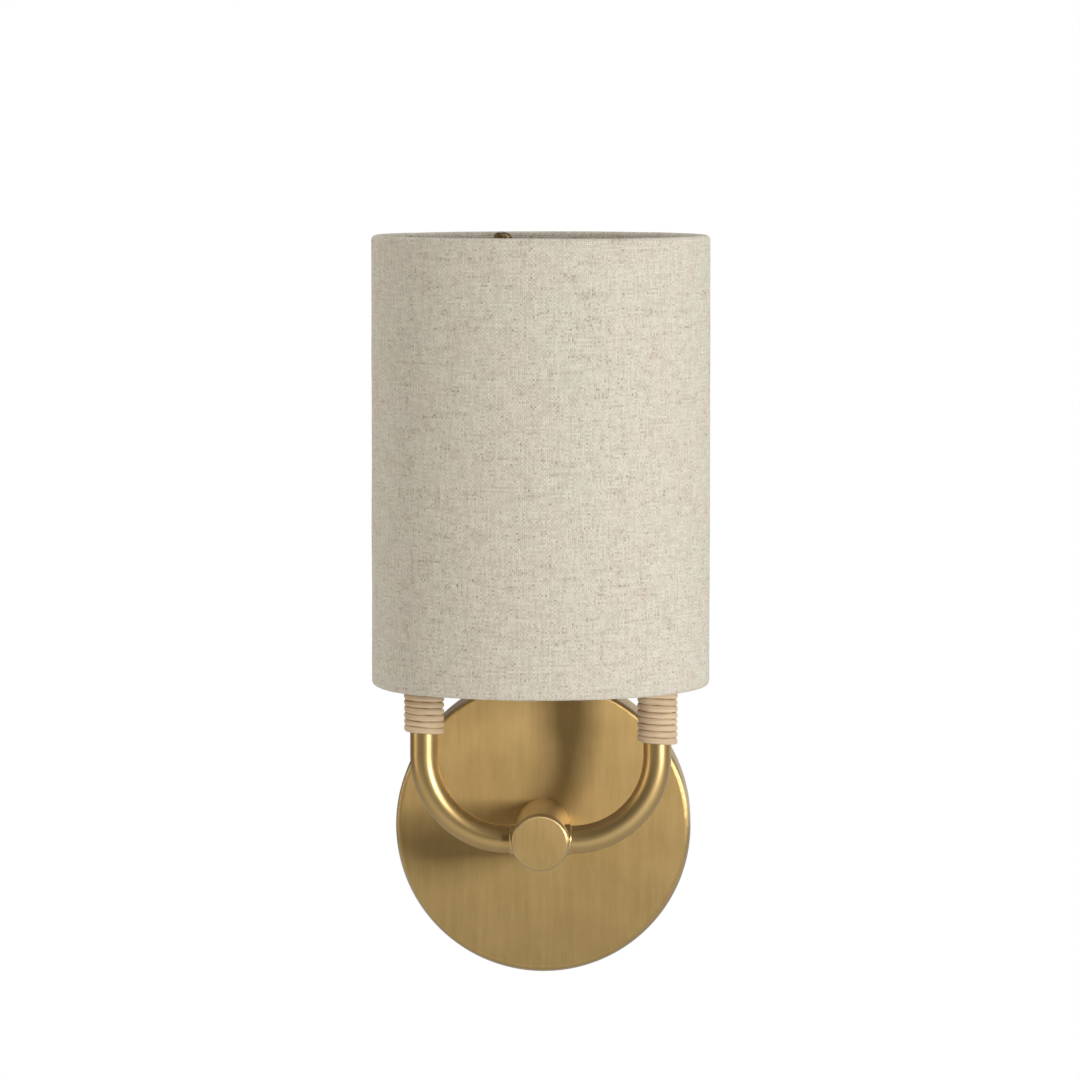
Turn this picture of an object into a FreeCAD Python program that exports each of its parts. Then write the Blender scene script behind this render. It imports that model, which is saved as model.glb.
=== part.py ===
import FreeCAD, Part
import math
import os
import re

import Sketcher
from FreeCAD import Placement, Rotation, Vector

# A wall sconce: a round brass backplate carries a short stem, and a tube arm leaves each side of the stem,
# bends upwards and is bound with rattan reed. Inside a linen drum shade the arms carry a yoke with the
# lampholder, and the shade's fitter is held on the lampholder by a threaded ring.
#
# The wall is the plane Y = 0 and the room is towards -Y. The stem's axis is the line X = 0, Z = 0, so the
# origin is the middle of the backplate on the wall. +Z is up.

doc = FreeCAD.newDocument("wall_sconce")

# Driving sizes in millimetres and degrees.

SIZES = [
    ("close_gap", 0.1, "threads and close fits, on the radius"),
    ("turning_gap", 0.3, "between pieces that turn or slide on each other"),

    ("plate_diameter", 119.4, "backplate across its rim"),
    ("plate_depth", 25.4, "backplate from the wall to its face"),
    ("plate_sheet", 1.2, "backplate metal"),
    ("plate_edge_round", 2.4, "rounding of the backplate's front edge"),

    ("bracket_width", 24, "wall bracket across"),
    ("bracket_sheet", 2, "wall bracket metal"),
    ("bracket_side_gap", 0.4, "between the bracket's ears and the backplate's rim"),
    ("ear_depth", 15, "bracket ears from the wall"),
    ("slot_spacing", 79.4, "bracket slots, middle to middle"),
    ("slot_length", 24, "bracket slot end to end"),
    ("slot_width", 4.8, "bracket slot across"),
    ("wire_hole_diameter", 16, "wire hole in the bracket"),
    ("ground_screw_height", 17, "ground screw above the stem's axis"),
    ("ground_screw_diameter", 4, "ground screw shank"),
    ("ground_head_diameter", 8, "ground screw head"),
    ("ground_head_height", 2.6, "ground screw head"),
    ("rim_screw_diameter", 3.9, "headless screws through the backplate's rim"),
    ("rim_screw_length", 8, "headless screws through the backplate's rim"),
    ("rim_screw_setback", 10, "headless screws from the wall"),

    ("reach", 72, "wall to the plane of the arms and the shade's axis"),
    ("stem_diameter", 22, "stem"),
    ("stem_bore_diameter", 15.6, "hollow of the stem"),
    ("stem_foot_depth", 12, "solid foot of the stem"),
    ("stem_nose", 8, "stem past the arms' plane"),
    ("cap_diameter", 23, "stem cap"),
    ("cap_depth", 3.4, "stem cap"),
    ("cap_edge_round", 1.5, "stem cap's front edge"),
    ("cap_spigot_depth", 2, "stem cap inside the stem"),
    ("nipple_diameter", 9.8, "threaded hollow nipples"),
    ("nipple_bore_diameter", 6.6, "hollow of the nipples"),
    ("nipple_tail", 1, "nipple past its nut"),
    ("nipple_grip", 10, "stem nipple inside the stem's foot"),
    ("stem_washer_diameter", 17, "washer behind the backplate"),
    ("washer_sheet", 0.8, "washers"),
    ("locknut_flats", 14, "nipple nuts across flats"),
    ("locknut_height", 3.2, "nipple nuts"),

    ("arm_spacing", 92.6, "arms, middle to middle"),
    ("arm_diameter", 11.1, "arm tube"),
    ("arm_wall", 1.2, "arm tube wall"),
    ("arm_lead", 0.3, "straight run of the arm from its collar to its bend"),
    ("arm_top", 96, "top of the arms above the stem's axis"),
    ("arm_end_gap", 0.4, "arm end back from the stem's hollow"),
    ("collar_rim", 0.35, "collar on the arm, past the tube"),
    ("collar_reach", 1.3, "collar past the stem's side"),

    ("reed_diameter", 2.1, "rattan reed"),
    ("reed_pitch", 2.56, "rattan reed, turn to turn"),
    ("reed_gap", 0.15, "between the reed and the tube"),
    ("left_wrap_rise", 7.8, "left binding's lower end above the arm's bend"),
    ("left_wrap_turns", 16, "left binding"),
    ("right_wrap_rise", 4, "right binding's lower end above the arm's bend"),
    ("right_wrap_turns", 17, "right binding"),

    ("plug_length", 12, "threaded plug inside the arm's top"),
    ("plug_bore_diameter", 5, "hollow of the plug"),
    ("stud_diameter", 7.8, "threaded stud above the plug"),
    ("stud_tail", 1, "stud past its nut"),
    ("yoke_sheet", 2.5, "yoke strap"),
    ("yoke_width", 16, "yoke strap across"),
    ("yoke_washer_diameter", 15, "yoke washers"),
    ("yoke_nut_flats", 13, "yoke nuts across flats"),
    ("yoke_nut_height", 5, "yoke nuts"),

    ("cup_diameter", 35, "lampholder cup"),
    ("cup_height", 24, "lampholder cup"),
    ("cup_wall", 1.4, "lampholder cup"),
    ("shoulder_diameter", 48, "lampholder shoulder under the shade's fitter"),
    ("shoulder_height", 3, "lampholder shoulder"),
    ("holder_thread_diameter", 39.4, "lampholder's outer thread"),
    ("holder_thread_height", 29, "lampholder's outer thread"),
    ("holder_bore_diameter", 29, "lampholder's hollow"),
    ("block_height", 10, "lampholder's insulating block"),
    ("block_drop", 1, "block's top below the cup's rim"),
    ("screw_shell_wall", 0.4, "lampholder's screw shell"),
    ("screw_shell_height", 26, "lampholder's screw shell"),
    ("contact_length", 16, "lampholder's contact strip"),
    ("contact_width", 5, "lampholder's contact strip"),
    ("contact_sheet", 0.5, "lampholder's contact strip"),
    ("contact_button_diameter", 4.4, "raised button of the contact strip"),
    ("contact_button_height", 2, "raised button of the contact strip"),
    ("terminal_spacing", 18, "terminal screws, middle to middle"),
    ("terminal_screw_diameter", 3, "terminal screw shank"),
    ("terminal_head_diameter", 6, "terminal screw head"),
    ("terminal_head_height", 2, "terminal screw head"),
    ("terminal_screw_length", 6, "terminal screw shank"),

    ("bulb_cap_diameter", 26, "bulb's screw cap"),
    ("bulb_cap_wall", 0.4, "bulb's screw cap"),
    ("bulb_cap_height", 20, "bulb's screw cap"),
    ("bulb_contact_diameter", 9, "bulb's bottom contact"),
    ("bulb_contact_height", 1.4, "bulb's bottom contact"),
    ("bulb_insulator_height", 5, "bulb's insulator"),
    ("bulb_insulator_rim", 1.5, "bulb's insulator inside the screw cap"),
    ("bulb_belly_diameter", 32, "bulb's glass at its widest"),
    ("bulb_glass_height", 80, "bulb's glass"),
    ("bulb_glass_wall", 0.9, "bulb's glass"),
    ("bulb_neck_height", 6, "bulb's straight neck"),
    ("bulb_belly_height", 26, "bulb's widest place above its neck"),
    ("bulb_tip_slope", 35, "bulb's glass beside its tip, from the level"),
    ("bulb_tip_diameter", 2, "flat tip of the bulb's glass"),
    ("bulb_neck_grip", 4, "bulb's neck inside the screw cap"),
    ("bulb_stem_height", 26, "glass stem inside the bulb"),
    ("bulb_stem_diameter", 5, "glass stem inside the bulb"),
    ("filament_diameter", 1.6, "filament rods"),
    ("filament_length", 34, "filament rods"),
    ("filament_overlap", 4, "filament rods beside the glass stem"),

    ("shade_diameter", 133.4, "shade across"),
    ("shade_height", 177.8, "shade from edge to edge"),
    ("shade_plate_gap", 2.3, "shade's lower edge above the backplate's top"),
    ("linen_sheet", 0.6, "linen cover"),
    ("hem_depth", 9, "linen folded inside"),
    ("liner_sheet", 0.5, "stiff liner behind the linen"),
    ("ring_wire", 2.4, "wire rings in the folds"),
    ("spoke_wire", 2.2, "shade spokes"),
    ("spoke_bearing", -15.5, "first spoke, from the wall's side towards the right"),
    ("spoke_shelf", 8, "level run of the spoke at the top ring"),
    ("spoke_bend_radius", 4, "spoke bends on their middle line"),
    ("spoke_ring_gap", 1.5, "between the spokes and the retaining ring"),
    ("notch_width", 5, "hem notches for the spokes"),
    ("fitter_play", 0.8, "between the fitter ring and the lampholder, on the radius"),
    ("fitter_width", 10, "fitter ring, inside to outside"),
    ("fitter_sheet", 1.6, "fitter ring"),
    ("retaining_wall", 4.2, "retaining ring, inside to outside"),
    ("retaining_height", 8, "retaining ring"),
]

SPOKE_COUNT = 3
FILAMENT_COUNT = 4

# Sizes that follow from the driving ones. Heights are above the stem's axis.

FOLLOWS = {
    "plate_radius": "plate_diameter / 2",
    "plate_inside": "plate_depth - plate_sheet",
    "nipple_radius": "nipple_diameter / 2",
    "nipple_hole": "nipple_radius + close_gap",
    "nipple_bore": "nipple_bore_diameter / 2",
    "stem_radius": "stem_diameter / 2",
    "stem_bore": "stem_bore_diameter / 2",
    "stem_end": "reach + stem_nose",
    "ear_corner": "plate_radius - plate_sheet - bracket_side_gap",
    "ear_outside": "sqrt(ear_corner ^ 2 - (bracket_width / 2) ^ 2)",
    "arm_radius": "arm_diameter / 2",
    "arm_bore": "arm_radius - arm_wall",
    "arm_offset": "arm_spacing / 2",
    "arm_start": "stem_bore + arm_end_gap",
    "arm_bend_radius": "arm_offset - stem_radius - collar_reach - arm_lead",
    "left_wrap_start": "arm_bend_radius + left_wrap_rise",
    "right_wrap_start": "arm_bend_radius + right_wrap_rise",
    "stud_radius": "stud_diameter / 2",
    "stud_hole": "stud_radius + close_gap",
    "yoke_top": "arm_top + yoke_sheet",
    "yoke_washer_top": "yoke_top + washer_sheet",
    "yoke_nut_top": "yoke_washer_top + yoke_nut_height",
    "socket_nut_bottom": "arm_top - locknut_height",
    "cup_inside": "cup_diameter / 2 - cup_wall",
    "cup_top": "yoke_top + cup_height",
    "block_top": "cup_top - block_drop",
    "holder_thread": "holder_thread_diameter / 2",
    "holder_bore": "holder_bore_diameter / 2",
    "screw_shell_radius": "holder_bore - close_gap",
    "fitter_bottom": "cup_top + shoulder_height + turning_gap",
    "fitter_top": "fitter_bottom + fitter_sheet",
    "fitter_hole": "holder_thread + fitter_play",
    "fitter_radius": "fitter_hole + fitter_width",
    "retaining_hole": "holder_thread + turning_gap",
    "retaining_radius": "retaining_hole + retaining_wall",
    "bulb_bottom": "block_top + contact_sheet + contact_button_height + turning_gap",
    "bulb_cap_bore": "bulb_cap_diameter / 2 - bulb_cap_wall",
    "insulator_bottom": "bulb_contact_height + close_gap",
    "insulator_top": "insulator_bottom + bulb_insulator_height",
    "insulator_radius": "bulb_cap_bore - close_gap",
    "bulb_cap_bottom": "insulator_top - bulb_insulator_rim",
    "bulb_cap_top": "bulb_cap_bottom + bulb_cap_height",
    "glass_bottom": "bulb_cap_top - bulb_neck_grip",
    "shade_radius": "shade_diameter / 2",
    "shade_rise": "plate_radius + shade_plate_gap",
    "shade_top": "shade_rise + shade_height",
    "fold": "ring_wire + 2 * linen_sheet",
    "ring_radius": "shade_radius - fold / 2",
    "top_ring_height": "shade_top - fold / 2",
    "bottom_ring_height": "shade_rise + fold / 2",
    "spoke_foot_height": "fitter_top + spoke_wire / 2 + close_gap",
    "spoke_inner": "retaining_radius + spoke_ring_gap",
    "spoke_outer": "ring_radius - ring_wire / 2 - close_gap",
}

sheet = doc.addObject("Spreadsheet::Sheet", "Sizes")
for row, (alias, size, meaning) in enumerate(SIZES, start=1):
    sheet.set(f"A{row}", meaning)
    sheet.set(f"B{row}", str(size))
    sheet.setAlias(f"B{row}", alias)
doc.recompute()

ALIASES = {alias for alias, size, meaning in SIZES}


def bound(text):
    """Write an expression on the sheet's cells out of the names of sizes."""
    def cell(match):
        name = match.group()
        if name in FOLLOWS:
            return f"({bound(FOLLOWS[name])})"
        if name in ALIASES:
            return f"Sizes.{name}"
        return name
    return re.sub(r"[a-z_]+", cell, text)


def value(text):
    """Work an expression out as a number."""
    return float(sheet.evalExpression(bound(text)))


# Directions of a piece's own Z axis.

UPRIGHT = Rotation()
TO_ROOM = Rotation(Vector(1, 0, 0), 90)
TO_RIGHT = Rotation(Vector(0, 1, 0), 90)
SHADE_AXIS = ("0", "-reach", "0")


def place(item, at, turn=UPRIGHT):
    """Turn an object and bind its place to the sheet."""
    item.Placement = Placement(Vector(), turn)
    for axis, text in zip("xyz", at):
        item.setExpression(f"Placement.Base.{axis}", bound(text))
    return item


def solid(kind, label, at, turn=UPRIGHT, **sizes):
    """Add one of the basic solids, with its sizes bound to the sheet."""
    item = doc.addObject(kind, label)
    item.Label = label
    for size, text in sizes.items():
        item.setExpression(size, bound(text))
    return place(item, at, turn)


def box(label, at, length, width, height):
    """A box, at its corner of least X, Y and Z."""
    return solid("Part::Box", label, at, Length=length, Width=width, Height=height)


def rod(label, at, radius, height, turn=UPRIGHT):
    """A cylinder, at the middle of its first end."""
    return solid("Part::Cylinder", label, at, turn, Radius=radius, Height=height)


def fuse(label, *items):
    """One solid out of several that meet."""
    item = doc.addObject("Part::MultiFuse", label)
    item.Label = label
    item.Shapes = list(items)
    return item


def cut(label, base, *tools):
    """A solid with others taken out of it."""
    item = doc.addObject("Part::Cut", label)
    item.Label = label
    item.Base = base
    item.Tool = tools[0] if len(tools) == 1 else fuse(f"{label}_cutters", *tools)
    return item


def group(label, items):
    """Separate like solids under one name."""
    item = doc.addObject("Part::Compound", label)
    item.Label = label
    item.Links = list(items)
    return item


def hex_nut(label, at, flats, height, hole, turn=UPRIGHT):
    """A six-sided nut on its hole's axis."""
    blank = solid("Part::Prism", f"{label}_blank", at, turn,
                  Circumradius=f"{flats} / 2 / cos(30)", Height=height)
    blank.Polygon = 6
    return cut(label, blank, rod(f"{label}_hole", at, hole, height, turn))


def new_body(label):
    """An empty body and its origin planes by name."""
    body = doc.addObject("PartDesign::Body", label)
    body.Label = label
    planes = {plane.Role: plane for plane in body.Origin.OriginFeatures}
    return body, planes


def new_sketch(body, plane, name):
    """A sketch on one of the body's own planes."""
    sketch = body.newObject("Sketcher::SketchObject", name)
    sketch.AttachmentSupport = [(plane, "")]
    sketch.MapMode = "FlatFace"
    return sketch


def pin_point(sketch, line, end, across, up):
    """Bind a line's end to the sheet, by its distances from the sketch's origin."""
    for kind, text, axis in (("DistanceX", across, -2), ("DistanceY", up, -1)):
        if text == "0":
            sketch.addConstraint(Sketcher.Constraint("PointOnObject", line, end, axis))
            continue
        number = sketch.addConstraint(Sketcher.Constraint(kind, -1, 1, line, end, value(text)))
        sketch.setExpression(f"Constraints[{number}]", bound(text))


def turned(label, corners, at=("0", "0", "0"), turn=UPRIGHT, rounds=()):
    """A piece turned on a lathe from a closed outline of (radius, height) corners.

    Each rounding is a (radius, height, rounding) of one corner of the outline."""
    body, planes = new_body(label)
    sketch = new_sketch(body, planes["XZ_Plane"], f"{label}_outline")
    points = [Vector(value(across), value(up), 0) for across, up in corners]
    count = len(corners)
    for index in range(count):
        sketch.addGeometry(Part.LineSegment(points[index], points[(index + 1) % count]), False)
    for index, (across, up) in enumerate(corners):
        sketch.addConstraint(Sketcher.Constraint("Coincident", index - 1 if index else count - 1, 2, index, 1))
        pin_point(sketch, index, 1, across, up)
    spun = body.newObject("PartDesign::Revolution", f"{label}_turned")
    spun.Profile = sketch
    spun.ReferenceAxis = (sketch, ["V_Axis"])
    spun.Angle = 360
    doc.recompute()
    for number, (radius, height, rounding) in enumerate(rounds, start=1):
        base = body.Tip
        fillet = body.newObject("PartDesign::Fillet", f"{label}_round_{number}")
        fillet.Base = (base, [ring_edge(base.Shape, value(radius), value(height))])
        fillet.setExpression("Radius", bound(rounding))
        doc.recompute()
    return place(body, at, turn)


def ring_edge(shape, radius, height):
    """Name the round edge of a turned piece at this radius and height."""
    near = 1e-4
    for number, edge in enumerate(shape.Edges, start=1):
        curve = edge.Curve
        if not isinstance(curve, Part.Circle) or abs(curve.Axis.z) < 0.5:
            continue
        if abs(curve.Radius - radius) < near and abs(curve.Center.z - height) < near:
            return f"Edge{number}"
    raise ValueError(f"no round edge at radius {radius} and height {height}")


def bent(label, corners, bend, outer, inner=None):
    """A wire or tube along straight runs through (across, up) corners, with one bend radius at each corner.

    The first run is level, and the section stands on its start."""
    body, planes = new_body(label)
    path = new_sketch(body, planes["XZ_Plane"], f"{label}_path")
    points = [Vector(value(across), value(up), 0) for across, up in corners]
    runs = len(points) - 1
    for index in range(runs):
        guide = path.addGeometry(Part.LineSegment(points[index], points[index + 1]), True)
        if index:
            path.addConstraint(Sketcher.Constraint("Coincident", guide - 1, 2, guide, 1))
        pin_point(path, guide, 1, *corners[index])
    pin_point(path, runs - 1, 2, *corners[-1])

    starts = points[:-1]
    ends = points[1:]
    arcs = []
    for index in range(1, runs):
        before = (points[index] - points[index - 1]).normalize()
        after = (points[index + 1] - points[index]).normalize()
        left_turn = before.cross(after).z > 0
        setback = value(bend) * math.tan(before.getAngle(after) / 2)
        ends[index - 1] = points[index] - before * setback
        starts[index] = points[index] + after * setback
        side = Vector(-before.y, before.x, 0) * (1 if left_turn else -1)
        middle = ends[index - 1] + side * value(bend)
        first, last = (ends[index - 1], starts[index]) if left_turn else (starts[index], ends[index - 1])
        angles = [math.atan2(point.y - middle.y, point.x - middle.x) for point in (first, last)]
        circle = Part.Circle(middle, Vector(0, 0, 1), value(bend))
        arcs.append((Part.ArcOfCircle(circle, *angles), left_turn))

    lines = [path.addGeometry(Part.LineSegment(starts[index], ends[index]), False) for index in range(runs)]
    path.addConstraint(Sketcher.Constraint("Coincident", lines[0], 1, 0, 1))
    path.addConstraint(Sketcher.Constraint("Coincident", lines[-1], 2, runs - 1, 2))
    for index, (arc, left_turn) in enumerate(arcs):
        number = path.addGeometry(arc, False)
        path.addConstraint(Sketcher.Constraint("PointOnObject", lines[index], 2, index))
        path.addConstraint(Sketcher.Constraint("PointOnObject", lines[index + 1], 1, index + 1))
        path.addConstraint(Sketcher.Constraint("Tangent", lines[index], 2, number, 1 if left_turn else 2))
        path.addConstraint(Sketcher.Constraint("Tangent", lines[index + 1], 1, number, 2 if left_turn else 1))
        radius = path.addConstraint(Sketcher.Constraint("Radius", number, value(bend)))
        path.setExpression(f"Constraints[{radius}]", bound(bend))

    section = new_sketch(body, planes["YZ_Plane"], f"{label}_section")
    section.setExpression("AttachmentOffset.Base.z", bound(corners[0][0]))
    up = corners[0][1]
    for radius in filter(None, (outer, inner)):
        circle = section.addGeometry(
            Part.Circle(Vector(0, value(up), 0), Vector(0, 0, 1), value(radius)), False)
        pin_point(section, circle, 3, "0", up)
        number = section.addConstraint(Sketcher.Constraint("Radius", circle, value(radius)))
        section.setExpression(f"Constraints[{number}]", bound(radius))

    pipe = body.newObject("PartDesign::AdditivePipe", f"{label}_pipe")
    pipe.Profile = section
    pipe.Spine = path
    doc.recompute()
    return body


# Wall bracket: a steel bar with two slots for the box screws, a wire hole and a tapped ear at each end.

def wall_bracket():
    bar = box("bracket_bar", ("-bracket_width / 2", "-bracket_sheet", "-ear_outside"),
              "bracket_width", "bracket_sheet", "2 * ear_outside")
    ears = []
    tapped = []
    slots = []
    for name, bottom, side in (("upper", "ear_outside - bracket_sheet", ""), ("lower", "-ear_outside", "-")):
        ears.append(box(f"{name}_ear", ("-bracket_width / 2", "-ear_depth", bottom),
                        "bracket_width", "ear_depth", "bracket_sheet"))
        tapped.append(rod(f"{name}_ear_hole", ("0", "-rim_screw_setback", bottom),
                          "rim_screw_diameter / 2 + close_gap", "bracket_sheet"))
        middle = f"{side}slot_spacing / 2"
        run = "(slot_length - slot_width)"
        slots.append(box(f"{name}_slot_middle", ("-slot_width / 2", "-bracket_sheet", f"{middle} - {run} / 2"),
                         "slot_width", "bracket_sheet", run))
        for end, sign in (("top", "+"), ("bottom", "-")):
            slots.append(rod(f"{name}_slot_{end}", ("0", "0", f"{middle} {sign} {run} / 2"),
                             "slot_width / 2", "bracket_sheet", TO_ROOM))
    wire_hole = rod("wire_hole", ("0", "0", "0"), "wire_hole_diameter / 2", "bracket_sheet", TO_ROOM)
    ground_hole = rod("ground_hole", ("0", "0", "ground_screw_height"),
                      "ground_screw_diameter / 2 + close_gap", "bracket_sheet", TO_ROOM)
    return cut("wall_bracket", fuse("bracket_bent", bar, *ears), *tapped, *slots, wire_hole, ground_hole)


def ground_screw():
    at = ("0", "0", "ground_screw_height")
    return turned("ground_screw", [
        ("0", "0"),
        ("ground_screw_diameter / 2", "0"),
        ("ground_screw_diameter / 2", "bracket_sheet"),
        ("ground_head_diameter / 2", "bracket_sheet"),
        ("ground_head_diameter / 2", "bracket_sheet + ground_head_height"),
        ("0", "bracket_sheet + ground_head_height"),
    ], at, TO_ROOM)


# Backplate: a spun pan with a rounded front edge, a hole for the nipple and two screw holes in its rim.

def backplate():
    pan = turned("plate_pan", [
        ("plate_radius - plate_sheet", "0"),
        ("plate_radius", "0"),
        ("plate_radius", "plate_depth"),
        ("nipple_hole", "plate_depth"),
        ("nipple_hole", "plate_inside"),
        ("plate_radius - plate_sheet", "plate_inside"),
    ], turn=TO_ROOM, rounds=[
        ("plate_radius", "plate_depth", "plate_edge_round"),
        ("plate_radius - plate_sheet", "plate_inside", "plate_edge_round - plate_sheet"),
    ])
    rim_holes = rod("rim_holes", ("0", "-rim_screw_setback", "-plate_radius"),
                    "rim_screw_diameter / 2 + close_gap", "plate_diameter")
    return cut("backplate", pan, rim_holes)


def backplate_screws():
    upper = rod("upper_rim_screw", ("0", "-rim_screw_setback", "plate_radius - rim_screw_length - close_gap"),
                "rim_screw_diameter / 2", "rim_screw_length")
    lower = rod("lower_rim_screw", ("0", "-rim_screw_setback", "-plate_radius + close_gap"),
                "rim_screw_diameter / 2", "rim_screw_length")
    return group("backplate_screws", [upper, lower])


# Stem: a turned tube with a solid foot, bored across for the arms, held on the plate by a nipple and nut.

def stem():
    tube = turned("stem_tube", [
        ("nipple_hole", "plate_depth"),
        ("stem_radius", "plate_depth"),
        ("stem_radius", "stem_end"),
        ("stem_bore", "stem_end"),
        ("stem_bore", "plate_depth + stem_foot_depth"),
        ("nipple_hole", "plate_depth + stem_foot_depth"),
    ], turn=TO_ROOM)
    cross_bore = rod("stem_cross_bore", ("-stem_radius", "-reach", "0"), "arm_radius + close_gap",
                     "stem_diameter", TO_RIGHT)
    return cut("stem", tube, cross_bore)


def stem_cap():
    return turned("stem_cap", [
        ("0", "stem_end - cap_spigot_depth"),
        ("stem_bore - close_gap", "stem_end - cap_spigot_depth"),
        ("stem_bore - close_gap", "stem_end"),
        ("cap_diameter / 2", "stem_end"),
        ("cap_diameter / 2", "stem_end + cap_depth"),
        ("0", "stem_end + cap_depth"),
    ], turn=TO_ROOM, rounds=[("cap_diameter / 2", "stem_end + cap_depth", "cap_edge_round")])


def stem_nipple():
    tail = "plate_inside - washer_sheet - locknut_height - nipple_tail"
    return turned("stem_nipple", [
        ("nipple_bore", tail),
        ("nipple_radius", tail),
        ("nipple_radius", "plate_depth + nipple_grip"),
        ("nipple_bore", "plate_depth + nipple_grip"),
    ], turn=TO_ROOM)


def stem_washer():
    return turned("stem_washer", [
        ("nipple_hole", "plate_inside - washer_sheet"),
        ("stem_washer_diameter / 2", "plate_inside - washer_sheet"),
        ("stem_washer_diameter / 2", "plate_inside"),
        ("nipple_hole", "plate_inside"),
    ], turn=TO_ROOM)


def stem_locknut():
    at = ("0", "-(plate_inside - washer_sheet - locknut_height)", "0")
    return hex_nut("stem_locknut", at, "locknut_flats", "locknut_height", "nipple_hole", TO_ROOM)


# Arms: two bent tubes, each with a collar that sits on the round of the stem.

def arm(label, half_turn):
    tube = bent(label, [("arm_start", "0"), ("arm_offset", "0"), ("arm_offset", "arm_top")],
                "arm_bend_radius", "arm_radius", "arm_bore")
    return place(tube, SHADE_AXIS, Rotation(Vector(0, 0, 1), half_turn))


def arm_collars():
    collars = []
    for name, start in (("left", "-(stem_radius + collar_reach)"), ("right", "0")):
        at = (start, "-reach", "0")
        width = "stem_radius + collar_reach"
        blank = rod(f"{name}_collar_blank", at, "arm_radius + close_gap + collar_rim", width, TO_RIGHT)
        tube_hole = rod(f"{name}_collar_hole", at, "arm_radius + close_gap", width, TO_RIGHT)
        saddle = rod(f"{name}_collar_saddle", ("0", "-plate_depth", "0"), "stem_radius",
                     "stem_end - plate_depth", TO_ROOM)
        collars.append(cut(f"{name}_collar", blank, tube_hole, saddle))
    return group("arm_collars", collars)


# Rattan binding: one reed wound up the arm as a left-hand helix, drawn with two arcs to each half turn.

def arc_from(start, heading, end):
    """The arc that leaves a point along a heading and ends at another point."""
    chord = end - start
    along = Vector(chord).normalize()
    lean = heading.getAngle(chord)
    outward = (heading - along * heading.dot(along)).normalize()
    middle = start + chord * 0.5 + outward * (chord.Length / 2 * math.tan(lean / 2))
    return Part.Arc(start, middle, end).toShape()


def biarc(start, start_heading, end, end_heading):
    """Two arcs between points with given headings."""
    gap = end - start
    headings = start_heading + end_heading
    bend = 2 * (1 - start_heading.dot(end_heading))
    across = gap.dot(headings)
    reach = (math.sqrt(across * across + bend * gap.dot(gap)) - across) / bend
    joint = (start + start_heading * reach + end - end_heading * reach) * 0.5
    joint_heading = ((end - end_heading * reach) - (start + start_heading * reach)).normalize()
    return [arc_from(start, start_heading, joint), arc_from(joint, joint_heading, end)]


def least_gap(path, turn_length, diameter):
    """The least gap between turns of a wound tube, on points along its middle line."""
    step = diameter / 4
    points = path.discretize(Distance=step)
    apart = int(turn_length / 2 / step)
    return min((points[later] - points[early]).Length
               for early in range(len(points))
               for later in range(early + apart, min(early + 3 * apart, len(points)))) - diameter


def rattan_wrap(label, side, start, turns):
    reed = value("reed_diameter")
    pitch = value("reed_pitch")
    radius = value("arm_radius + reed_gap + reed_diameter / 2")
    middle = Vector(side * value("arm_offset"), -value("reach"), value(start) + reed / 2)
    back = math.pi / 2

    def point(angle):
        turn = back - angle
        return middle + Vector(radius * math.cos(turn), radius * math.sin(turn), pitch * angle / math.tau)

    def heading(angle):
        turn = back - angle
        return Vector(radius * math.sin(turn), -radius * math.cos(turn), pitch / math.tau).normalize()

    edges = []
    halves = int(round(2 * value(turns)))
    for half in range(halves):
        lower, upper = half * math.pi, (half + 1) * math.pi
        edges += biarc(point(lower), heading(lower), point(upper), heading(upper))
    last = halves * math.pi
    lead_in = point(0) - heading(0) * reed
    lead_out = point(last) + heading(last) * reed
    edges.insert(0, Part.LineSegment(lead_in, point(0)).toShape())
    edges.append(Part.LineSegment(point(last), lead_out).toShape())
    path = Part.Wire(edges)
    section = Part.Wire([Part.makeCircle(reed / 2, lead_in, heading(0))])
    item = doc.addObject("Part::Feature", label)
    item.Label = label
    item.Shape = path.makePipeShell([section], True, False)
    item.Placement = Placement()
    gap = least_gap(path, math.tau * radius, reed)
    share = item.Shape.Volume / (math.pi * reed * reed / 4 * path.Length)
    print(f"{label}: least gap to itself {gap:.3f} mm, volume against section times length {share:.4f}")
    return item


# Yoke: a strap across the tops of the arms, on hollow threaded plugs with a washer and nut each.

def arm_end_plugs():
    plugs = []
    for name, across in (("left", "-arm_offset"), ("right", "arm_offset")):
        plugs.append(turned(f"{name}_plug", [
            ("plug_bore_diameter / 2", "arm_top - plug_length"),
            ("arm_bore - close_gap", "arm_top - plug_length"),
            ("arm_bore - close_gap", "arm_top"),
            ("stud_radius", "arm_top"),
            ("stud_radius", "yoke_nut_top + stud_tail"),
            ("plug_bore_diameter / 2", "yoke_nut_top + stud_tail"),
        ], (across, "-reach", "0")))
    return group("arm_end_plugs", plugs)


def yoke():
    strap = box("yoke_strap", ("-arm_offset", "-reach - yoke_width / 2", "arm_top"),
                "arm_spacing", "yoke_width", "yoke_sheet")
    ends = []
    holes = [rod("yoke_socket_hole", ("0", "-reach", "arm_top"), "nipple_hole", "yoke_sheet")]
    for name, across in (("left", "-arm_offset"), ("right", "arm_offset")):
        at = (across, "-reach", "arm_top")
        ends.append(rod(f"yoke_{name}_end", at, "yoke_width / 2", "yoke_sheet"))
        holes.append(rod(f"yoke_{name}_hole", at, "stud_hole", "yoke_sheet"))
    return cut("yoke", fuse("yoke_blank", strap, *ends), *holes)


def yoke_washers():
    washers = []
    for name, across in (("left", "-arm_offset"), ("right", "arm_offset")):
        washers.append(turned(f"{name}_yoke_washer", [
            ("stud_hole", "yoke_top"),
            ("yoke_washer_diameter / 2", "yoke_top"),
            ("yoke_washer_diameter / 2", "yoke_washer_top"),
            ("stud_hole", "yoke_washer_top"),
        ], (across, "-reach", "0")))
    return group("yoke_washers", washers)


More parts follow.
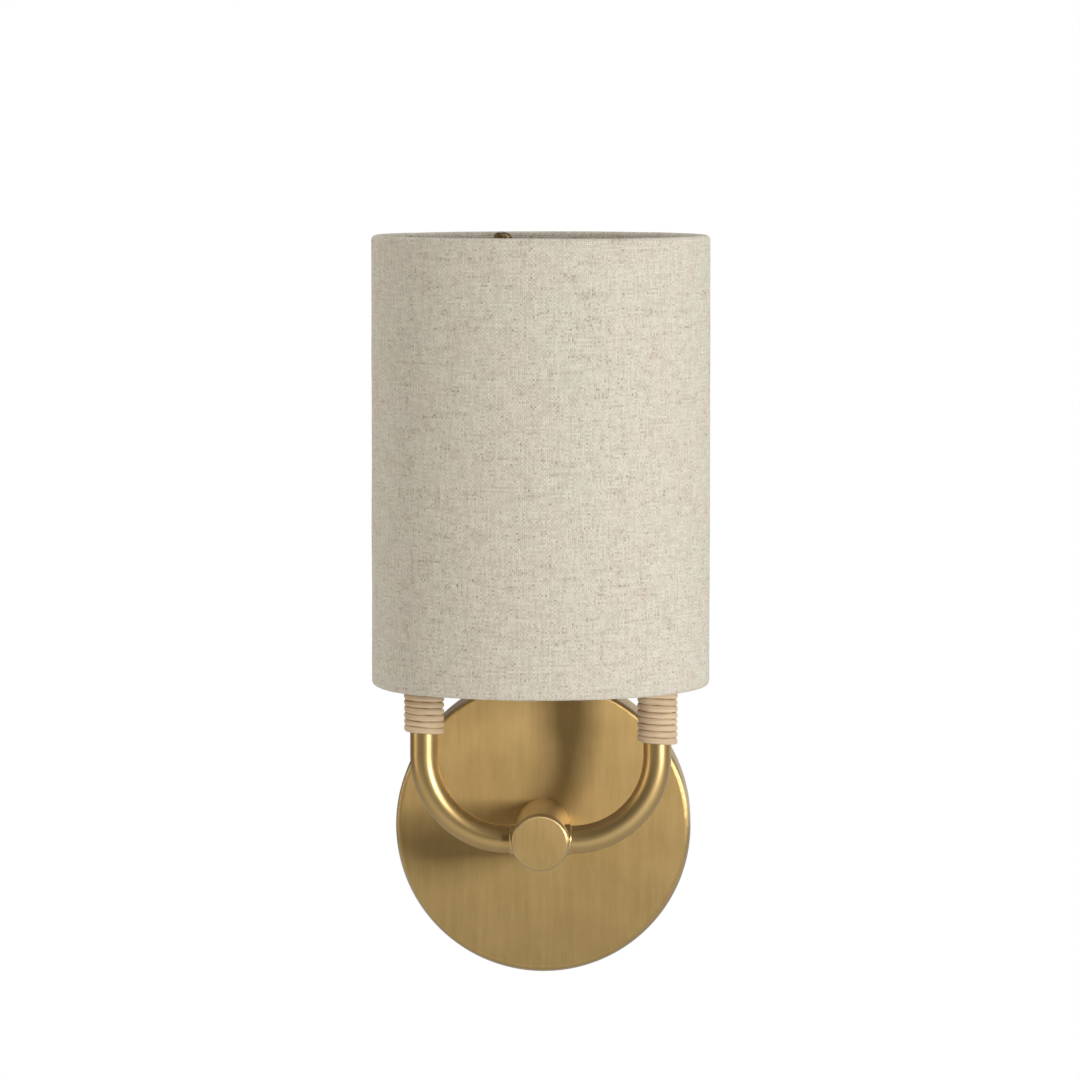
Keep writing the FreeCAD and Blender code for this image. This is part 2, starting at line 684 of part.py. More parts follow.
def yoke_nuts():
    return group("yoke_nuts", [
        hex_nut(f"{name}_yoke_nut", (across, "-reach", "yoke_washer_top"),
                "yoke_nut_flats", "yoke_nut_height", "stud_hole")
        for name, across in (("left", "-arm_offset"), ("right", "arm_offset"))])


# Lampholder: a cup on the yoke's nipple, a threaded sleeve with a shoulder, and the contacts inside.

def socket_nipple():
    bottom = "socket_nut_bottom - nipple_tail"
    top = "yoke_top + cup_wall + nipple_tail"
    return turned("socket_nipple", [
        ("nipple_bore", bottom),
        ("nipple_radius", bottom),
        ("nipple_radius", top),
        ("nipple_bore", top),
    ], SHADE_AXIS)


def socket_locknut():
    return hex_nut("socket_locknut", ("0", "-reach", "socket_nut_bottom"),
                   "locknut_flats", "locknut_height", "nipple_hole")


def socket_cup():
    return turned("socket_cup", [
        ("nipple_hole", "yoke_top"),
        ("cup_diameter / 2", "yoke_top"),
        ("cup_diameter / 2", "cup_top"),
        ("cup_inside", "cup_top"),
        ("cup_inside", "yoke_top + cup_wall"),
        ("nipple_hole", "yoke_top + cup_wall"),
    ], SHADE_AXIS, rounds=[("cup_diameter / 2", "yoke_top", "cup_wall")])


def socket_body():
    shoulder_top = "cup_top + shoulder_height"
    return turned("socket_body", [
        ("holder_bore", "cup_top"),
        ("shoulder_diameter / 2", "cup_top"),
        ("shoulder_diameter / 2", shoulder_top),
        ("holder_thread", shoulder_top),
        ("holder_thread", f"{shoulder_top} + holder_thread_height"),
        ("holder_bore", f"{shoulder_top} + holder_thread_height"),
    ], SHADE_AXIS)


def terminal_places():
    return (("left", "-terminal_spacing / 2"), ("right", "terminal_spacing / 2"))


def socket_block():
    bottom = "block_top - block_height"
    disc = rod("block_disc", ("0", "-reach", bottom), "cup_inside - close_gap", "block_height")
    holes = [rod(f"{name}_terminal_hole", (across, "-reach", bottom),
                 "terminal_screw_diameter / 2 + close_gap", "terminal_screw_length + close_gap")
             for name, across in terminal_places()]
    return cut("socket_block", disc, *holes)


def socket_terminal_screws():
    bottom = "block_top - block_height"
    screws = []
    for name, across in terminal_places():
        screws.append(turned(f"{name}_terminal_screw", [
            ("0", f"{bottom} - terminal_head_height"),
            ("terminal_head_diameter / 2", f"{bottom} - terminal_head_height"),
            ("terminal_head_diameter / 2", bottom),
            ("terminal_screw_diameter / 2", bottom),
            ("terminal_screw_diameter / 2", f"{bottom} + terminal_screw_length"),
            ("0", f"{bottom} + terminal_screw_length"),
        ], (across, "-reach", "0")))
    return group("socket_terminal_screws", screws)


def socket_screw_shell():
    return turned("socket_screw_shell", [
        ("screw_shell_radius - screw_shell_wall", "block_top"),
        ("screw_shell_radius", "block_top"),
        ("screw_shell_radius", "block_top + screw_shell_height"),
        ("screw_shell_radius - screw_shell_wall", "block_top + screw_shell_height"),
    ], SHADE_AXIS)


def socket_contact():
    strip = box("contact_strip", ("-contact_length / 2", "-reach - contact_width / 2", "block_top"),
                "contact_length", "contact_width", "contact_sheet")
    button = rod("contact_button", ("0", "-reach", "block_top"), "contact_button_diameter / 2",
                 "contact_sheet + contact_button_height")
    return fuse("socket_contact", strip, button)


# Bulb: a screw cap with its insulator and bottom contact, and a candle-shaped glass with rod filaments.

BULB_AXIS = ("0", "-reach", "bulb_bottom")


def bulb_contact():
    return turned("bulb_contact", [
        ("0", "0"),
        ("bulb_contact_diameter / 2", "0"),
        ("bulb_contact_diameter / 2", "bulb_contact_height"),
        ("0", "bulb_contact_height"),
    ], BULB_AXIS)


def bulb_insulator():
    return turned("bulb_insulator", [
        ("0", "insulator_bottom"),
        ("bulb_contact_diameter / 2", "insulator_bottom"),
        ("insulator_radius", "bulb_cap_bottom"),
        ("insulator_radius", "insulator_top"),
        ("0", "insulator_top"),
    ], BULB_AXIS)


def bulb_cap():
    return turned("bulb_cap", [
        ("bulb_cap_bore", "bulb_cap_bottom"),
        ("bulb_cap_diameter / 2", "bulb_cap_bottom"),
        ("bulb_cap_diameter / 2", "bulb_cap_top"),
        ("bulb_cap_bore", "bulb_cap_top"),
    ], BULB_AXIS)


def candle(inset):
    """A solid of the bulb's glass, drawn in by an inset: a straight neck, a belly and a small flat tip."""
    neck = value("bulb_cap_bore - close_gap") - inset
    bottom = value("glass_bottom")
    neck_top = Vector(neck, 0, bottom + value("bulb_neck_height"))
    belly = Vector(value("bulb_belly_diameter / 2") - inset, 0, neck_top.z + value("bulb_belly_height"))
    tip = Vector(value("bulb_tip_diameter / 2"), 0, bottom + value("bulb_glass_height") - inset)
    slope = math.radians(value("bulb_tip_slope"))
    up = Vector(0, 0, 1)
    outline = Part.Wire([
        Part.LineSegment(Vector(0, 0, bottom), Vector(neck, 0, bottom)).toShape(),
        Part.LineSegment(Vector(neck, 0, bottom), neck_top).toShape(),
        arc_from(belly, -up, neck_top),
        *biarc(belly, up, tip, Vector(-math.cos(slope), 0, math.sin(slope))),
        Part.LineSegment(tip, Vector(0, 0, tip.z)).toShape(),
        Part.LineSegment(Vector(0, 0, tip.z), Vector(0, 0, bottom)).toShape(),
    ])
    return Part.Face(outline).revolve(Vector(), up, 360)


def bulb_glass():
    item = doc.addObject("Part::Feature", "bulb_glass")
    item.Label = "bulb_glass"
    item.Shape = candle(0).cut(candle(value("bulb_glass_wall")))
    return place(item, BULB_AXIS)


def bulb_stem():
    flare = "bulb_cap_bore - 2 * close_gap - bulb_glass_wall"
    return turned("bulb_stem", [
        ("0", "glass_bottom"),
        (flare, "glass_bottom"),
        ("bulb_stem_diameter / 2", "glass_bottom + bulb_neck_height"),
        ("bulb_stem_diameter / 2", "glass_bottom + bulb_stem_height"),
        ("0", "glass_bottom + bulb_stem_height"),
    ], BULB_AXIS)


def bulb_filaments():
    rods = []
    bottom = "bulb_bottom + glass_bottom + bulb_stem_height - filament_overlap"
    out = "(bulb_stem_diameter / 2 + filament_diameter / 2 + close_gap)"
    for number in range(FILAMENT_COUNT):
        bearing = f"{360 * number / FILAMENT_COUNT}"
        at = (f"{out} * sin({bearing})", f"{out} * cos({bearing}) - reach", bottom)
        rods.append(rod(f"filament_{number + 1}", at, "filament_diameter / 2", "filament_length"))
    return group("bulb_filaments", rods)


# Shade: linen folded over two wire rings on a stiff liner, with three spokes down to the fitter ring.

def spoke_bearing(number):
    return f"spoke_bearing + {360 * number / SPOKE_COUNT}"


def shade_linen():
    inside = "shade_radius - linen_sheet"
    fold_in = "shade_radius - fold"
    hem = f"{fold_in} + linen_sheet"
    cover = turned("linen_cover", [
        ("shade_radius", "shade_rise"),
        ("shade_radius", "shade_top"),
        (fold_in, "shade_top"),
        (fold_in, "shade_top - hem_depth"),
        (hem, "shade_top - hem_depth"),
        (hem, "shade_top - linen_sheet"),
        (inside, "shade_top - linen_sheet"),
        (inside, "shade_rise + linen_sheet"),
        (hem, "shade_rise + linen_sheet"),
        (hem, "shade_rise + hem_depth"),
        (fold_in, "shade_rise + hem_depth"),
        (fold_in, "shade_rise"),
    ], SHADE_AXIS, rounds=[
        corner
        for edge, inner_edge in (("shade_top", "shade_top - linen_sheet"),
                                 ("shade_rise", "shade_rise + linen_sheet"))
        for wall, inner_wall in (("shade_radius", inside), (fold_in, hem))
        for corner in ((wall, edge, "fold / 2 - close_gap"),
                       (inner_wall, inner_edge, "ring_wire / 2 - close_gap"))])
    notches = []
    for number in range(SPOKE_COUNT):
        notch = box(f"hem_notch_{number + 1}", ("0", "0", "0"), "notch_width", "fold",
                    "hem_depth + close_gap - fold / 2 + spoke_wire / 2 + close_gap")
        notch.setExpression("Placement", bound(
            f"create(<<placement>>; create(<<vector>>; 0; -reach; shade_top - hem_depth - close_gap);"
            f" create(<<rotation>>; create(<<vector>>; 0; 0; 1); -({spoke_bearing(number)})))"
            f" * create(<<placement>>; create(<<vector>>; -notch_width / 2; ring_radius - fold; 0);"
            f" create(<<rotation>>; create(<<vector>>; 0; 0; 1); 0))"))
        notches.append(notch)
    return cut("shade_linen", cover, *notches)


def shade_liner():
    outside = "shade_radius - linen_sheet - close_gap / 2"
    bottom = "shade_rise + fold"
    top = "shade_top - fold"
    return turned("shade_liner", [
        (f"{outside} - liner_sheet", bottom),
        (outside, bottom),
        (outside, top),
        (f"{outside} - liner_sheet", top),
    ], SHADE_AXIS)


def shade_ring(label, height):
    return solid("Part::Torus", label, ("0", "-reach", height),
                 Radius1="ring_radius", Radius2="ring_wire / 2 - close_gap / 2")


def shade_spokes():
    spokes = []
    for number in range(SPOKE_COUNT):
        wire = bent(f"spoke_{number + 1}", [
            ("spoke_outer", "top_ring_height"),
            ("spoke_outer - spoke_shelf", "top_ring_height"),
            ("fitter_radius", "spoke_foot_height"),
            ("spoke_inner", "spoke_foot_height"),
        ], "spoke_bend_radius", "spoke_wire / 2")
        wire.setExpression("Placement.Base.y", bound("-reach"))
        wire.setExpression("Placement.Rotation.Angle", bound(f"90 - ({spoke_bearing(number)})"))
        spokes.append(wire)
    return group("shade_spokes", spokes)


def shade_fitter_ring():
    return turned("shade_fitter_ring", [
        ("fitter_hole", "fitter_bottom"),
        ("fitter_radius", "fitter_bottom"),
        ("fitter_radius", "fitter_top"),
        ("fitter_hole", "fitter_top"),
    ], SHADE_AXIS)


def shade_retaining_ring():
    bottom = "fitter_top + turning_gap"
    return turned("shade_retaining_ring", [
        ("retaining_hole", bottom),
        ("retaining_radius", bottom),
        ("retaining_radius", f"{bottom} + retaining_height"),
        ("retaining_hole", f"{bottom} + retaining_height"),
    ], SHADE_AXIS)


sub_parts = [
    wall_bracket(),
    ground_screw(),
    backplate(),
    backplate_screws(),
    stem_nipple(),
    stem_washer(),
    stem_locknut(),
    stem(),
    stem_cap(),
    arm("left_arm", 180),
    arm("right_arm", 0),
    arm_collars(),
    rattan_wrap("left_rattan_wrap", -1, "left_wrap_start", "left_wrap_turns"),
    rattan_wrap("right_rattan_wrap", 1, "right_wrap_start", "right_wrap_turns"),
    arm_end_plugs(),
    yoke(),
    yoke_washers(),
    yoke_nuts(),
    socket_nipple(),
    socket_locknut(),
    socket_cup(),
    socket_body(),
    socket_block(),
    socket_terminal_screws(),
    socket_screw_shell(),
    socket_contact(),
    bulb_contact(),
    bulb_insulator(),
    bulb_cap(),
    bulb_glass(),
    bulb_stem(),
    bulb_filaments(),
    shade_linen(),
    shade_liner(),
    shade_ring("shade_top_ring", "top_ring_height"),
    shade_ring("shade_bottom_ring", "bottom_ring_height"),
    shade_spokes(),
    shade_fitter_ring(),
    shade_retaining_ring(),
]

doc.recompute()
for item in doc.Objects:
    if "Invalid" in item.State or "Error" in item.State:
        raise RuntimeError(f"{item.Label} failed: {item.State}")
for item in sub_parts:
    if item.Shape.isNull() or not item.Shape.isValid():
        raise RuntimeError(f"{item.Label} has no valid shape")

os.makedirs("parts", exist_ok=True)
for item in sub_parts:
    item.Shape.exportStep(f"parts/{item.Label}.step")
    print(f"{item.Label}: {len(item.Shape.Solids)} solids, {item.Shape.Volume:.1f} mm3")
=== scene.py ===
import math

import bpy
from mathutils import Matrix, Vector


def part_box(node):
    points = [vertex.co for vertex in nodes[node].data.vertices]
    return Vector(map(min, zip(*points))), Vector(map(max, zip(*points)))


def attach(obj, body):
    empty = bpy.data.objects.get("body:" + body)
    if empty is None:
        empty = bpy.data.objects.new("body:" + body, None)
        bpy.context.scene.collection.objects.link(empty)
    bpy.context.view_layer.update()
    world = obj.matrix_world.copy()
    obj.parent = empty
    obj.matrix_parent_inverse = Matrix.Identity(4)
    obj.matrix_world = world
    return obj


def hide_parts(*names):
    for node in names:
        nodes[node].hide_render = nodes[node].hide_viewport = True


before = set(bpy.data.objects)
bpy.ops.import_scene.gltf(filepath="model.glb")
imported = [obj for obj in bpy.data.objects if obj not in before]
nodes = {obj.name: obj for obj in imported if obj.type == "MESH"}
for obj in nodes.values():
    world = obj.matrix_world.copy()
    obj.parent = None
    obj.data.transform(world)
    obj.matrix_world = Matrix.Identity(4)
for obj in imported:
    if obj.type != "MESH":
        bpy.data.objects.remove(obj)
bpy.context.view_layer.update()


# Wall bracket: a zinc-plated steel bar with bent ears, screwed through its two slots to the box in the wall.
# The green screw on it takes the bare ground wire, and plated nuts and a nipple hold the stem on the plate.

class Field:
    """A shader socket whose operators add Math nodes."""

    def __init__(self, socket):
        self.socket = socket
        self.tree = socket.id_data

    def node(self, kind, settings=None, sockets=None, output=0):
        """Add a node, with its settings first, and return one of its outputs."""
        made = self.tree.nodes.new(kind)
        for name, setting in (settings or {}).items():
            setattr(made, name, setting)
        for name, given in (sockets or {}).items():
            if isinstance(given, Field):
                self.tree.links.new(given.socket, made.inputs[name])
            else:
                made.inputs[name].default_value = given
        return Field(made.outputs[output])

    def other(self, output):
        """Another output of the same node."""
        return Field(self.socket.node.outputs[output])

    def maths(self, operation, first, second=0.0):
        """A Math node on two values."""
        return self.node("ShaderNodeMath", {"operation": operation}, {0: first, 1: second})

    def __add__(self, other):
        return self.maths("ADD", self, other)

    def __sub__(self, other):
        return self.maths("SUBTRACT", self, other)

    def __rsub__(self, other):
        return self.maths("SUBTRACT", other, self)

    def __mul__(self, other):
        return self.maths("MULTIPLY", self, other)

    def __truediv__(self, other):
        return self.maths("DIVIDE", self, other)

    __radd__ = __add__
    __rmul__ = __mul__

    def step(self, start, end, low=0.0, high=1.0):
        """A soft step from one value to another."""
        return self.node("ShaderNodeMapRange", {"interpolation_type": "SMOOTHSTEP"},
                         {"Value": self, "From Min": start, "From Max": end, "To Min": low, "To Max": high})

    def blend(self, first, second):
        """A colour between two others, by this value."""
        return self.node("ShaderNodeMix", {"data_type": "RGBA"}, {0: self, 6: first, 7: second}, 2)

    def stretched(self, across, depth, up):
        """These coordinates multiplied along each axis."""
        return self.node("ShaderNodeVectorMath", {"operation": "MULTIPLY"}, {0: self, 1: (across, depth, up)})

    def noise(self, scale, detail=2.0, roughness=0.5):
        """Soft noise at these coordinates."""
        return self.node("ShaderNodeTexNoise", None,
                         {"Vector": self, "Scale": scale, "Detail": detail, "Roughness": roughness})

    def bump(self, depth, strength=1.0):
        """A surface normal that follows this value as a height."""
        return self.node("ShaderNodeBump", None, {"Strength": strength, "Distance": depth, "Height": self})


def new_finish(name, even):
    """A material with its even values set on its shader, and the coordinates of the piece."""
    material = bpy.data.materials.new(name)
    material.use_nodes = True
    shader = material.node_tree.nodes["Principled BSDF"]
    for socket, given in even.items():
        shader.inputs[socket].default_value = given
    coordinates = material.node_tree.nodes.new("ShaderNodeTexCoord")
    return material, Field(coordinates.outputs["Object"])


def feed(material, fields):
    """Link values that vary over the surface to the material's shader."""
    shader = material.node_tree.nodes["Principled BSDF"]
    for socket, field in fields.items():
        material.node_tree.links.new(field.socket, shader.inputs[socket])


def dress(material, *pieces):
    """Give pieces one material and no other."""
    for piece in pieces:
        piece.data.materials.clear()
        piece.data.materials.append(material)


zinc, at = new_finish("zinc_plate", {"Metallic": 1.0})
spangle = at.noise(420.0, 3.0)
feed(zinc, {
    "Base Color": spangle.blend((0.48, 0.49, 0.50, 1), (0.66, 0.67, 0.67, 1)),
    "Roughness": 0.30 + 0.22 * spangle,
    "Normal": at.noise(2600.0, 1.0).bump(0.00004),
})
dress(zinc, nodes["wall_bracket"], nodes["stem_nipple"], nodes["stem_washer"], nodes["stem_locknut"])

green, at = new_finish("green_lacquer", {"Metallic": 0.4})
chip = at.noise(900.0, 4.0)
feed(green, {
    "Base Color": chip.blend((0.010, 0.135, 0.045, 1), (0.035, 0.26, 0.10, 1)),
    "Roughness": 0.28 + 0.3 * chip,
    "Normal": chip.bump(0.00003),
})
dress(green, nodes["ground_screw"])


# Backplate: a spun brass pan with a small rounded edge, brushed upright across its face and lacquered satin.
# Two headless brass screws at the top and bottom of its rim hold it on the bracket's ears.

PLATE_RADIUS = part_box("backplate")[1].x
PLATE_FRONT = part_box("backplate")[0].y
STEM_CAP_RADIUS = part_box("stem_cap")[1].x
STEM_CAP_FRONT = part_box("stem_cap")[0].y

brushed_brass, at = new_finish("brushed_brass", {"Metallic": 1.0, "Anisotropic": 0.78})
upright_lines = at.stretched(2600.0, 2600.0, 120.0).noise(1.0, 2.0, 0.6)
wide_lines = at.stretched(420.0, 420.0, 32.0).noise(1.0, 2.0, 0.5)
tarnish = at.noise(46.0, 3.0, 0.6)
parts = at.node("ShaderNodeSeparateXYZ", None, {0: at})
across, up = parts, parts.other(2)
from_middle = at.maths("SQRT", across * across + up * up)
# Painted highlight: the cap's rounded rim is lightened all round, standing in for the bright crescent that
# the light draws on it.
on_cap = parts.other(1).step(STEM_CAP_FRONT + 0.004, STEM_CAP_FRONT + 0.006, 1.0, 0.0)
cap_rim_painted_highlight = from_middle.step(STEM_CAP_RADIUS - 0.0018, STEM_CAP_RADIUS - 0.0003) * on_cap
rim_polish = from_middle.step(PLATE_RADIUS - 0.0022, PLATE_RADIUS - 0.0006) + cap_rim_painted_highlight
# The plate's outer rim is blended to a pale greyish brass, most towards the front: partly rubbed wear, partly
# a painted reflection on the rounded edge.
rim_front_share = parts.other(1).step(PLATE_FRONT + 0.0012, PLATE_FRONT + 0.0045, 0.8, 0.2)
rim_wear_and_reflection = from_middle.step(PLATE_RADIUS - 0.0013, PLATE_RADIUS - 0.0003) * rim_front_share
tone = 0.28 * upright_lines + 0.26 * wide_lines + 0.46 * tarnish
brushed = tone.step(0.29, 0.71).blend((0.545, 0.368, 0.140, 1), (0.685, 0.476, 0.202, 1))
with_cap_highlight = (0.85 * cap_rim_painted_highlight).blend(brushed, (0.79, 0.585, 0.305, 1))
feed(brushed_brass, {
    "Base Color": rim_wear_and_reflection.blend(with_cap_highlight, (0.80, 0.68, 0.52, 1)),
    "Roughness": 0.45 + 0.06 * upright_lines - 0.12 * rim_polish,
    "Normal": upright_lines.bump(0.00003, 0.3),
})
dress(brushed_brass, nodes["backplate"], nodes["stem_cap"])


# Stem and arms: a turned brass stem carries two bent brass tubes, polished along their length to the plate's
# colour, each with a thin bright collar. The yoke inside the shade is a strap of the same brass.

COLLAR_BORE = 0.00560
COLLAR_RADIUS = 0.00605
COLLAR_START = 0.0096
COLLAR_END = 0.01235
COLLAR_BEAD = 0.0009
COLLAR_SIDES = 96
BEAD_ROWS = 8
MERGE_GAP = 0.00001
SMOOTH_BELOW = math.radians(35)

satin_brass, at = new_finish("satin_brass", {"Metallic": 1.0, "Coat Weight": 0.34, "Coat Roughness": 0.28})
rub = at.noise(900.0, 2.0, 0.5)
tarnish = at.noise(30.0, 2.0)
feed(satin_brass, {
    "Base Color": tarnish.step(0.3, 0.7).blend((0.64, 0.435, 0.170, 1), (0.72, 0.498, 0.212, 1)),
    "Roughness": 0.36 + 0.05 * rub,
})
dress(satin_brass, nodes["left_arm"], nodes["right_arm"], nodes["yoke"], nodes["backplate_screws"])
dress(zinc, nodes["arm_end_plugs"], nodes["yoke_washers"], nodes["yoke_nuts"])


def start_piece(name):
    """Name the piece that was just added."""
    piece = bpy.context.active_object
    piece.name = name
    piece.data.name = name
    return piece


def settle(piece):
    """Move the piece's place, turn and size into its mesh."""
    bpy.ops.object.transform_apply(location=True, rotation=True, scale=True)
    return piece


def start_point(name, place):
    """A new piece of one point, left in edit mode with the point selected."""
    bpy.ops.object.select_all(action="DESELECT")
    bpy.ops.mesh.primitive_plane_add(size=0.001, location=place)
    piece = settle(start_piece(name))
    bpy.ops.object.mode_set(mode="EDIT")
    bpy.ops.mesh.select_mode(type="VERT")
    bpy.ops.mesh.select_all(action="SELECT")
    bpy.ops.mesh.merge(type="CENTER")
    return piece


def draw_on(points):
    """Extrude the selected point by the steps from each of these points to the next."""
    for place, next_place in zip(points, points[1:]):
        step = [next_value - value for value, next_value in zip(place, next_place)]
        bpy.ops.mesh.extrude_vertices_move(TRANSFORM_OT_translate={"value": step})


def turn_outline(sides, middle, axis):
    """Spin the drawn outline all the way round and close it."""
    bpy.ops.mesh.select_all(action="SELECT")
    bpy.ops.mesh.spin(steps=sides, angle=math.tau, center=middle, axis=axis)
    bpy.ops.mesh.select_all(action="SELECT")
    bpy.ops.mesh.remove_doubles(threshold=MERGE_GAP)
    bpy.ops.mesh.normals_make_consistent(inside=False)
    bpy.ops.object.mode_set(mode="OBJECT")


def turned_ring(name, outline, depth, height):
    """A ring turned about an axis across the lamp, from an outline of places along the axis and radii."""
    points = [(along, depth, height + radius) for along, radius in outline]
    piece = start_point(name, points[0])
    draw_on(points)
    turn_outline(COLLAR_SIDES, (0, depth, height), (1, 0, 0))
    bpy.ops.object.shade_smooth_by_angle(angle=SMOOTH_BELOW)
    return piece


collar_low, collar_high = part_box("arm_collars")
collar_middle = (collar_low + collar_high) / 2
collar_outline = [(COLLAR_START, COLLAR_BORE), (COLLAR_START, COLLAR_RADIUS)]
for row in range(BEAD_ROWS + 1):
    turn = math.pi / 2 * row / BEAD_ROWS
    collar_outline.append((COLLAR_END - COLLAR_BEAD + COLLAR_BEAD * math.sin(turn),
                           COLLAR_BORE + (COLLAR_RADIUS - COLLAR_BORE) * math.cos(turn)))
collar_outline.append(collar_outline[0])
left_outline = [(-along, radius) for along, radius in collar_outline]
left_collar = turned_ring("left_collar", left_outline, collar_middle.y, collar_middle.z)
collars = turned_ring("arm_collar_beads", collar_outline, collar_middle.y, collar_middle.z)
left_collar.select_set(True)
bpy.ops.object.join()
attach(collars, "fixture")
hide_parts("arm_collars")

polished_brass, at = new_finish("polished_brass", {"Metallic": 1.0})
rub = at.noise(1500.0, 2.0)
feed(polished_brass, {
    "Base Color": rub.blend((0.70, 0.500, 0.215, 1), (0.80, 0.600, 0.290, 1)),
    "Roughness": 0.24 + 0.1 * rub,
})
dress(polished_brass, collars)

# Painted light: the stem's brass is a paler copy of the arms' brass, standing in for the light that falls on
# the stem's top.
turned_brass_painted_light, at = new_finish("turned_brass_painted_light", {"Metallic": 1.0, "Coat Weight": 0.4, "Coat Roughness": 0.4})
turned_lines = at.stretched(60.0, 3000.0, 60.0).noise(1.0, 2.0, 0.6)
feed(turned_brass_painted_light, {
    "Base Color": turned_lines.step(0.3, 0.7).blend((0.77, 0.590, 0.320, 1), (0.85, 0.665, 0.380, 1)),
    "Roughness": 0.40 + 0.08 * turned_lines,
    "Normal": turned_lines.bump(0.00002, 0.3),
})
dress(turned_brass_painted_light, nodes["stem"])


# Rattan bindings: one flat oval reed is wound up each arm, turn against turn, and its ends are tucked behind.
# The reed is bare, matt and uneven, with fine fibres along it, and shade is painted into the grooves between
# the turns.

ARM_RADIUS = 0.00555
REED_GAP = 0.0001
REED_PITCH = 0.00256
REED_WIDTH = 0.00250
REED_THICKNESS = 0.0023
REED_ROUND = 0.00105
REED_STRETCH = 6.0
STEPS_PER_TURN = 56


def apply_modifiers(piece):
    """Apply the piece's modifiers in order."""
    for modifier in list(piece.modifiers):
        bpy.ops.object.modifier_apply(modifier=modifier.name)


def uneven(piece, grain, amount, middle=0.5, direction="NORMAL"):
    """Add a soft unevenness of a given grain, in metres."""
    clouds = bpy.data.textures.new(f"{piece.name}_clouds", "CLOUDS")
    clouds.noise_scale = grain
    swell = piece.modifiers.new("uneven", "DISPLACE")
    swell.texture = clouds
    swell.texture_coords = "LOCAL"
    swell.direction = direction
    swell.mid_level = middle
    swell.strength = amount


def bare_rattan(name, middle, lower_end):
    """Pale reed whose fibres follow its turns round the arm."""
    rattan, at = new_finish(name, {"Roughness": 0.6, "Specular IOR Level": 0.35})
    parts = at.node("ShaderNodeSeparateXYZ", None, {0: at})
    turned = at.maths("ARCTAN2", parts - middle.x, middle.y - parts.other(1)) / math.tau
    place = (parts.other(2) - lower_end) / REED_PITCH + turned
    turn = at.maths("FLOOR", place)
    across = place - turn - 0.5
    along = turn - turned
    reed_place = at.node("ShaderNodeCombineXYZ", None, {0: along * 3.0, 1: across * 5.0, 2: turn * 3.7})
    fibre = reed_place.noise(1.0, 4.0, 0.6)
    strand = at.node("ShaderNodeCombineXYZ", None, {0: along * 1.6, 1: turn * 5.3}).noise(1.0, 2.0)
    blush = at.noise(210.0, 2.0)
    aside, before = parts - middle.x, parts.other(1) - middle.y
    depth = ARM_RADIUS + REED_GAP + REED_THICKNESS - at.maths("SQRT", aside * aside + before * before)
    # Painted shade: the colour darkens with depth in the grooves between the turns.
    groove_painted_shade = depth.step(0.0004, 0.0010) * at.noise(150.0, 2.0).step(0.36, 0.60, 0.35, 1.0)
    pale = blush.step(0.35, 0.65).blend((0.75, 0.600, 0.385, 1), (0.77, 0.584, 0.400, 1))
    tone = (0.6 * fibre + 0.4 * strand).step(0.33, 0.64).blend((0.56, 0.385, 0.225, 1), pale)
    feed(rattan, {
        "Base Color": (groove_painted_shade * 0.55).blend(tone, (0.24, 0.150, 0.080, 1)),
        "Normal": fibre.bump(0.00015, 0.5),
    })
    return rattan


def rattan_binding(node, turns):
    """A reed wound up the arm in place of a node."""
    low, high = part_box(node)
    middle = (low + high) / 2
    bpy.ops.object.select_all(action="DESELECT")
    bpy.ops.mesh.primitive_plane_add(size=1.0, rotation=(math.pi / 2, 0, 0))
    reed = start_piece(f"{node}_reed")
    reed.scale = (REED_THICKNESS, REED_WIDTH, 1.0)
    reed.location = (ARM_RADIUS + REED_GAP + REED_THICKNESS / 2, 0, 0)
    settle(reed)
    bpy.ops.object.mode_set(mode="EDIT")
    bpy.ops.mesh.select_all(action="SELECT")
    bpy.ops.mesh.bevel(offset=REED_ROUND, segments=4, affect="VERTICES")
    bpy.ops.mesh.select_all(action="SELECT")
    bpy.ops.mesh.delete(type="ONLY_FACE")
    bpy.ops.object.mode_set(mode="OBJECT")
    winding = reed.modifiers.new("winding", "SCREW")
    winding.axis = "Z"
    winding.angle = -math.tau
    winding.screw_offset = REED_PITCH
    winding.iterations = turns
    winding.steps = STEPS_PER_TURN
    winding.render_steps = STEPS_PER_TURN
    apply_modifiers(reed)
    bpy.ops.object.mode_set(mode="EDIT")
    bpy.ops.mesh.select_mode(type="EDGE")
    bpy.ops.mesh.select_all(action="DESELECT")
    bpy.ops.mesh.select_non_manifold()
    bpy.ops.mesh.edge_face_add()
    bpy.ops.mesh.select_all(action="SELECT")
    bpy.ops.mesh.normals_make_consistent(inside=False)
    bpy.ops.object.mode_set(mode="OBJECT")
    reed.location = (middle.x, middle.y, low.z + REED_WIDTH / 2)
    reed.rotation_euler = (0, 0, math.pi / 2)
    settle(reed)
    reed.scale = (1, 1, REED_STRETCH)
    settle(reed)
    uneven(reed, grain=0.020, amount=0.0010 * REED_STRETCH, direction="Z")
    apply_modifiers(reed)
    reed.scale = (1, 1, 1 / REED_STRETCH)
    settle(reed)
    uneven(reed, grain=0.004, amount=0.0003, middle=0.4)
    apply_modifiers(reed)
    bpy.ops.object.shade_smooth()
    dress(bare_rattan(f"{node}_finish", middle, low.z), reed)
    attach(reed, "fixture")
    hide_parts(node)


rattan_binding("left_rattan_wrap", turns=16)
rattan_binding("right_rattan_wrap", turns=17)


# Lampholder: a black phenolic cup and threaded sleeve on a plated nipple, with a white ceramic block inside
# that carries the brass contact, the screw shell and two terminal screws. A ribbed ring on the sleeve's
# thread holds the shade.

